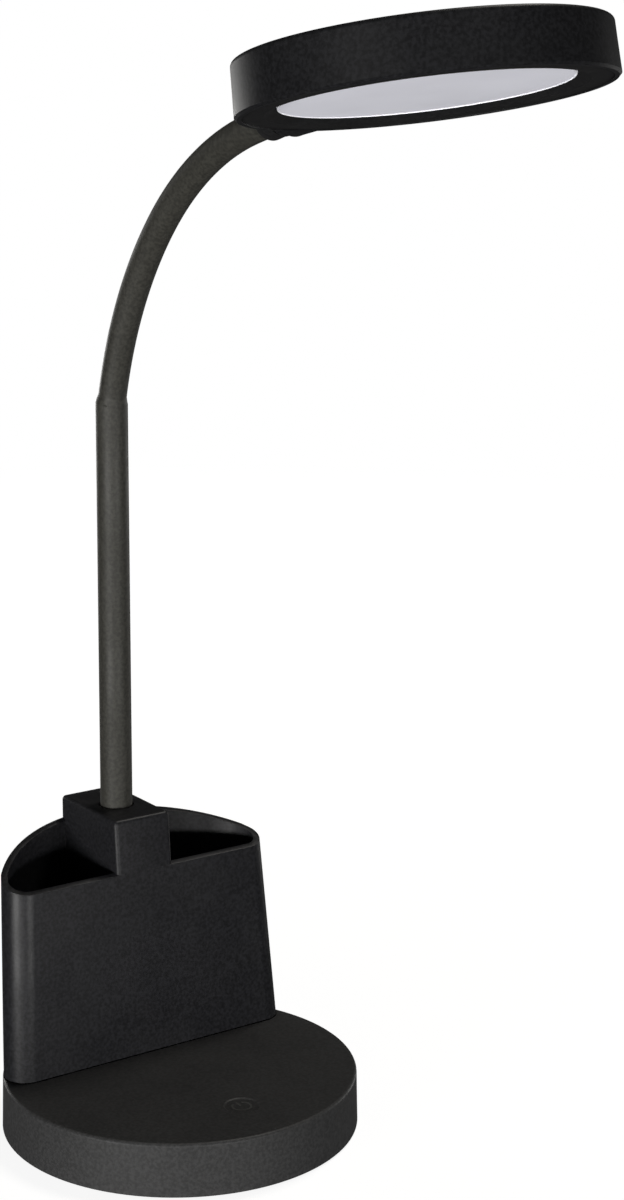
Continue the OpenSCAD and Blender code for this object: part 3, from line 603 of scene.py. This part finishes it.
def foot_skin():
    """Over the straight pipe, from its flange to the first length that bends."""
    s = sizes()
    low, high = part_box("sleeve_pipe")[0].z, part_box("sleeve_pipe")[1].z
    piece = ring_at("neck_skin_foot", (0, NECK_Y, low), 0, s.skin_foot_r)
    grow = (s.skin_kink_r / s.skin_foot_r) ** (1 / FOOT_STEPS)
    for _ in range(FOOT_STEPS):
        extrude_ring((0, 0, (high - low) / FOOT_STEPS), grow)
    return close_skin(piece)


def kink_skin():
    """The step from the pipe onto the bend: the tube narrows and leans over within a few millimetres."""
    s = sizes()
    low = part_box("sleeve_pipe")[1].z
    piece = ring_at("neck_skin_1", (0, NECK_Y, low), 0, s.skin_kink_r)
    straight = KINK_Z - SHOULDER - low
    for _ in range(PIPE_END_STEPS):
        extrude_ring((0, 0, straight / PIPE_END_STEPS))
    half_lean = KINK_LEAN * 0.5
    for k in range(KINK_STEPS):
        t = (k + 1) / KINK_STEPS
        extrude_ring((0, 0, SHOULDER / KINK_STEPS))
        tilt_ring(half_lean / KINK_STEPS, Vector((0, NECK_Y, KINK_Z - SHOULDER * (1 - t))))
    narrow = (s.skin_top_r / s.skin_kink_r) ** (1 / KINK_STEPS)
    for k in range(KINK_STEPS):
        a = KINK_RUN * k / KINK_STEPS
        b = KINK_RUN * (k + 1) / KINK_STEPS
        extrude_ring(bend_point(b) - bend_point(a), narrow)
        tilt_ring(bend_lean(b) - (half_lean if k == 0 else bend_lean(a)), bend_point(b))
    run_along(KINK_RUN, LINK_MIDS[0])
    return close_skin(piece)


# ---- operators --------------------------------------------------------------------------------

# Pen holder: what counts as flat, as an edge to round and as an edge to shade sharp
FLAT_ANGLE = radians(0.5)
EDGE_ANGLE = radians(50)
SHADE_ANGLE = radians(30)
ROUND_SEGMENTS = 3

# Lens's edge: sides of the ring, depth of the lens's rim in its mesh, rounding of the ring
LENS_EDGE_SIDES = 160
LENS_RIM_BAND = 0.05 * MM
LENS_EDGE_ROUND = 0.12 * MM

# Touch mark: depth of its dish, its height, half the gap in its ring, and its bar in parts of the mark
DISH_DEPTH = 0.3 * MM
MARK_HEIGHT = 0.06 * MM
MARK_HALF_GAP = radians(32)
MARK_STEPS = 48
BAR_MIDDLE = 0.27
BAR_LENGTH = 0.44


class LAMP_OT_finishes(bpy.types.Operator):
    """Give every carried part of the lamp its finish"""
    bl_idname = "lamp.finishes"
    bl_label = "Finishes"

    def execute(self, context):
        for name, node in NODES.items():
            set_finish(node, NODE_FINISH.get(name, "bright steel"))
        return {"FINISHED"}


class LAMP_OT_neck_skin(bpy.types.Operator):
    """Draw the rubber skin over the pipe and the bend, in lengths that each cross one joint"""
    bl_idname = "lamp.neck_skin"
    bl_label = "Neck skin"

    def execute(self, context):
        foot = foot_skin()
        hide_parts("sleeve_pipe")
        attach(foot, "stand")
        for k in range(1, 7):
            piece = kink_skin() if k == 1 else skin_between(
                f"neck_skin_{k}", LINK_MIDS[k - 2], LINK_MIDS[k - 1])
            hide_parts(f"sleeve_{k}")
            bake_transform(piece)
        end = skin_between("neck_skin_end", LINK_MIDS[5], SLEEVE_L)
        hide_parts("sleeve_end")
        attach(end, "link_6")
        return {"FINISHED"}


class LAMP_OT_holder_edges(bpy.types.Operator):
    """Ease the pen holder's edges as far as its mesh lets them, and draw a near-black band of painted shade
    round its foot, in the gap where it meets the base
    """
    bl_idname = "lamp.holder_edges"
    bl_label = "Holder edges"

    def execute(self, context):
        s = sizes()
        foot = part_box("pen_holder")[0].z
        # A thin band standing proud round the holder's foot, coloured near-black as painted shade in the
        # gap
        seam = copy_of("pen_holder", "foot_shade_band")
        bpy.ops.mesh.bisect(plane_co=(0, 0, foot + s.shade_band_h), plane_no=(0, 0, 1), use_fill=True,
                            clear_outer=True)
        bpy.ops.mesh.select_all(action="SELECT")
        bpy.ops.transform.shrink_fatten(value=s.shade_band_proud)
        recalculate_normals(seam)
        set_finish(seam, "painted gap shade")
        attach(seam, "stand")

        holder = copy_of("pen_holder", "pen_holder_rounded")
        bpy.ops.mesh.dissolve_limited(angle_limit=FLAT_ANGLE)
        bpy.ops.object.mode_set(mode="OBJECT")
        apply_modifier(holder, "BEVEL", width=s.rim_round, segments=ROUND_SEGMENTS, limit_method="ANGLE",
                       angle_limit=EDGE_ANGLE, use_clamp_overlap=True)
        smooth(holder, SHADE_ANGLE)
        set_finish(holder, "shell plastic")
        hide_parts("pen_holder")
        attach(holder, "stand")
        return {"FINISHED"}


class LAMP_OT_lens_edge(bpy.types.Operator):
    """Add a raised ring round the lens, coloured a little paler than the lens as a painted highlight, that
    shows as a bright line
    """
    bl_idname = "lamp.lens_edge"
    bl_label = "Lens edge"

    def execute(self, context):
        s = sizes()
        low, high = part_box("lens")
        middle = (low + high) / 2
        faces = NODES["lens"].data.polygons
        down = min(faces, key=lambda face: -face.area if face.normal.z < 0 else 0).normal.copy()
        front = [v.co - middle for v in NODES["lens"].data.vertices]
        reach = max(v.dot(down) for v in front)
        rim = [v for v in front if v.dot(down) > reach - LENS_RIM_BAND]
        rim_r = min((v - down * v.dot(down)).length for v in rim)
        deselect_all()
        bpy.ops.mesh.primitive_circle_add(vertices=LENS_EDGE_SIDES, radius=rim_r, fill_type="NOTHING",
                                          location=middle + down * (reach - s.lens_edge_h),
                                          rotation=down.to_track_quat("Z", "Y").to_euler())
        piece = context.object
        piece.name = piece.data.name = "lens_edge"
        at_origin(piece)
        bpy.ops.object.mode_set(mode="EDIT")
        bpy.ops.mesh.select_all(action="SELECT")
        bpy.ops.mesh.extrude_region_move(
            TRANSFORM_OT_translate={"value": tuple(down * 2 * s.lens_edge_h)})
        bpy.ops.object.mode_set(mode="OBJECT")
        recalculate_normals(piece)
        apply_modifier(piece, "SOLIDIFY", thickness=s.lens_edge_w, offset=0.0)
        apply_modifier(piece, "BEVEL", width=LENS_EDGE_ROUND, segments=2, limit_method="ANGLE")
        smooth(piece)
        # Its paler colour is a painted highlight
        set_finish(piece, "lens ring painted highlight")
        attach(piece, "head")
        return {"FINISHED"}


class LAMP_OT_touch_mark(bpy.types.Operator):
    """Print the power mark in the dish of the touch key"""
    bl_idname = "lamp.touch_mark"
    bl_label = "Touch mark"

    def execute(self, context):
        s = sizes()
        middle_r = (s.icon_d - s.icon_stroke) / 2
        deselect_all()
        bpy.ops.mesh.primitive_plane_add(size=1, location=(0, 0, 0))
        arc = bpy.context.object
        arc.scale = (s.icon_stroke, MARK_HEIGHT, 1)
        arc.rotation_euler = (pi / 2, 0, 0)
        arc.location = (middle_r, 0, MARK_HEIGHT / 2)
        at_origin(arc)
        bpy.ops.object.mode_set(mode="EDIT")
        bpy.ops.mesh.select_all(action="SELECT")
        bpy.ops.mesh.spin(
            steps=MARK_STEPS, angle=-2 * (pi - MARK_HALF_GAP), center=(0, 0, 0), axis=(0, 0, 1))
        bpy.ops.object.mode_set(mode="OBJECT")
        arc.rotation_euler = (0, 0, pi / 2 + MARK_HALF_GAP)
        at_origin(arc)
        deselect_all()
        bpy.ops.mesh.primitive_cube_add(size=1, location=(0, s.icon_d * BAR_MIDDLE, MARK_HEIGHT / 2))
        bar = bpy.context.object
        bar.scale = (s.icon_stroke, s.icon_d * BAR_LENGTH, MARK_HEIGHT)
        at_origin(bar)
        deselect_all()
        arc.select_set(True)
        bar.select_set(True)
        bpy.context.view_layer.objects.active = arc
        bpy.ops.object.join()
        arc.name = arc.data.name = "touch_mark"
        arc.location = (0, KEY_Y, BASE_TOP - DISH_DEPTH)
        at_origin(arc)
        recalculate_normals(arc)
        set_finish(arc, "mark paint")
        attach(arc, "stand")
        return {"FINISHED"}


def white_where_seen(tree, strength, unseen, seen):
    """Shows white to the camera and through glass, a little of it in gloss, else the dim glow."""
    path = tree.nodes.new("ShaderNodeLightPath")
    dull = math_node(tree, "SUBTRACT", 1.0, path.outputs["Is Glossy Ray"])
    tree.links.new(math_node(tree, "MULTIPLY", dull, strength), unseen.node.inputs["Strength"])
    gloss = math_node(tree, "MULTIPLY", path.outputs["Is Glossy Ray"], GLOSS_WHITE)
    share = math_node(tree, "MAXIMUM", path.outputs["Is Camera Ray"], gloss)
    share = math_node(tree, "MAXIMUM", share, path.outputs["Is Transmission Ray"])
    return mix_shader(tree, share, unseen, seen)


def mix_shader(tree, share, a, b):
    mixer = tree.nodes.new("ShaderNodeMixShader")
    tree.links.new(share, mixer.inputs["Fac"])
    tree.links.new(a, mixer.inputs[1])
    tree.links.new(b, mixer.inputs[2])
    return mixer.outputs[0]


def glow(tree, kind, strength, colour=(1, 1, 1)):
    node = tree.nodes.new(kind)
    node.inputs["Color"].default_value = (*colour, 1)
    node.inputs["Strength"].default_value = strength
    return node.outputs[0]


def area_light(name, azimuth, elevation, distance, size, watts, colour, aim=None):
    """A soft box that looks at the lamp's middle, or at aim. Azimuth 0 is its front, 90 its right."""
    aim = aim or (CAD_BOX[0] + CAD_BOX[1]) / 2
    a, e = radians(azimuth), radians(elevation)
    way = Vector((sin(a) * cos(e), -cos(a) * cos(e), sin(e)))
    deselect_all()
    bpy.ops.object.light_add(type="AREA", location=aim + way * distance)
    lamp = bpy.context.object
    lamp.name = name
    lamp.rotation_euler = way.to_track_quat("Z", "Y").to_euler()
    lamp.data.shape = "RECTANGLE"
    lamp.data.size, lamp.data.size_y = size
    lamp.data.energy = watts
    lamp.data.color = colour


class LAMP_OT_studio(bpy.types.Operator):
    """Set up the floor, the lights, the camera and the colour management"""
    bl_idname = "lamp.studio"
    bl_label = "Studio"

    def execute(self, context):
        scene = context.scene
        scene.view_settings.view_transform = "Standard"
        deselect_all()
        bpy.ops.mesh.primitive_plane_add(size=1, location=(0, 0, 0))
        floor = context.object
        floor.name = floor.data.name = "floor"
        floor.scale = (FLOOR_SIZE, FLOOR_SIZE, 1)
        at_origin(floor)
        material = bpy.data.materials.new("floor white")
        material.use_nodes = True
        tree = material.node_tree
        shader = tree.nodes["Principled BSDF"]
        shader.inputs["Base Color"].default_value = FLOOR_COLOUR
        shader.inputs["Roughness"].default_value = FLOOR_ROUGH
        shader.inputs["Specular IOR Level"].default_value = 0.0
        table = glow(tree, "ShaderNodeEmission", FLOOR_BOUNCE, FLOOR_TINT)
        away = tree.nodes.new("ShaderNodeVectorMath")
        away.operation = "LENGTH"
        tree.links.new(tree.nodes.new("ShaderNodeTexCoord").outputs["Object"], away.inputs[0])
        share = remap(tree, away.outputs["Value"], SHADOW_NEAR, SHADOW_FAR, FLOOR_SHADOW, 0.0)
        paper = glow(tree, "ShaderNodeEmission", 1.0)
        lift = math_node(tree, "MULTIPLY", share, SHADOW_LIFT)
        tree.links.new(math_node(tree, "ADD", lift, 1.0), paper.node.inputs["Strength"])
        white = mix_shader(tree, share, paper, shader.outputs[0])
        seen = white_where_seen(tree, FLOOR_BOUNCE, table, white)
        tree.links.new(seen, tree.nodes["Material Output"].inputs["Surface"])
        floor.data.materials.append(material)

        world = bpy.data.worlds.new("studio")
        scene.world = world
        world.use_nodes = True
        tree = world.node_tree
        dim = glow(tree, "ShaderNodeBackground", ROOM_LIGHT, ROOM_TINT)
        white = glow(tree, "ShaderNodeBackground", 1.0)
        seen = white_where_seen(tree, ROOM_LIGHT, dim, white)
        tree.links.new(seen, tree.nodes["World Output"].inputs["Surface"])

        low = Vector((0, 0, LOW_LIGHTS_Z))
        for name, azimuth, size, watts in LOW_LIGHTS:
            area_light(name, azimuth, 0, LOW_LIGHTS_DISTANCE, size, watts, LOW_LIGHTS_COLOUR, aim=low)
        area_light(*TOP_LIGHT)

        turn = (Matrix.Rotation(CAMERA_PAN, 4, "Z") @ Matrix.Rotation(CAMERA_TILT, 4, "X")
                @ Matrix.Rotation(CAMERA_ROLL, 4, "Z"))
        deselect_all()
        bpy.ops.object.camera_add()
        camera = context.object
        camera.name = "camera"
        camera.matrix_world = Matrix.Translation(CAMERA_PLACE) @ turn
        camera.data.sensor_width = CAMERA_SENSOR
        camera.data.lens = CAMERA_LENS
        scene.camera = camera
        return {"FINISHED"}


class LAMP_PT_panel(bpy.types.Panel):
    """Lists the steps that dress the lamp, and their settings"""
    bl_idname = "LAMP_PT_panel"
    bl_label = "Desk Lamp"
    bl_space_type = "VIEW_3D"
    bl_region_type = "UI"
    bl_category = "Desk Lamp"

    def draw(self, context):
        for step in STEPS:
            self.layout.operator(step.bl_idname)
        for group in (context.scene.lamp_sizes, context.scene.lamp_colours):
            for label in group.__annotations__:
                self.layout.prop(group, label)


STEPS = [LAMP_OT_studio, LAMP_OT_finishes, LAMP_OT_neck_skin, LAMP_OT_holder_edges, LAMP_OT_lens_edge,
         LAMP_OT_touch_mark]
CLASSES = [LampSizes, LampColours, *STEPS, LAMP_PT_panel]


def register():
    for cls in CLASSES:
        bpy.utils.register_class(cls)
    bpy.types.Scene.lamp_sizes = bpy.props.PointerProperty(type=LampSizes)
    bpy.types.Scene.lamp_colours = bpy.props.PointerProperty(type=LampColours)


def unregister():
    del bpy.types.Scene.lamp_colours
    del bpy.types.Scene.lamp_sizes
    for cls in reversed(CLASSES):
        bpy.utils.unregister_class(cls)


def main():
    register()
    bpy.ops.lamp.studio()
    bpy.ops.lamp.finishes()
    bpy.ops.lamp.neck_skin()
    bpy.ops.lamp.holder_edges()
    bpy.ops.lamp.lens_edge()
    bpy.ops.lamp.touch_mark()


if __name__ == "__main__":
    main()
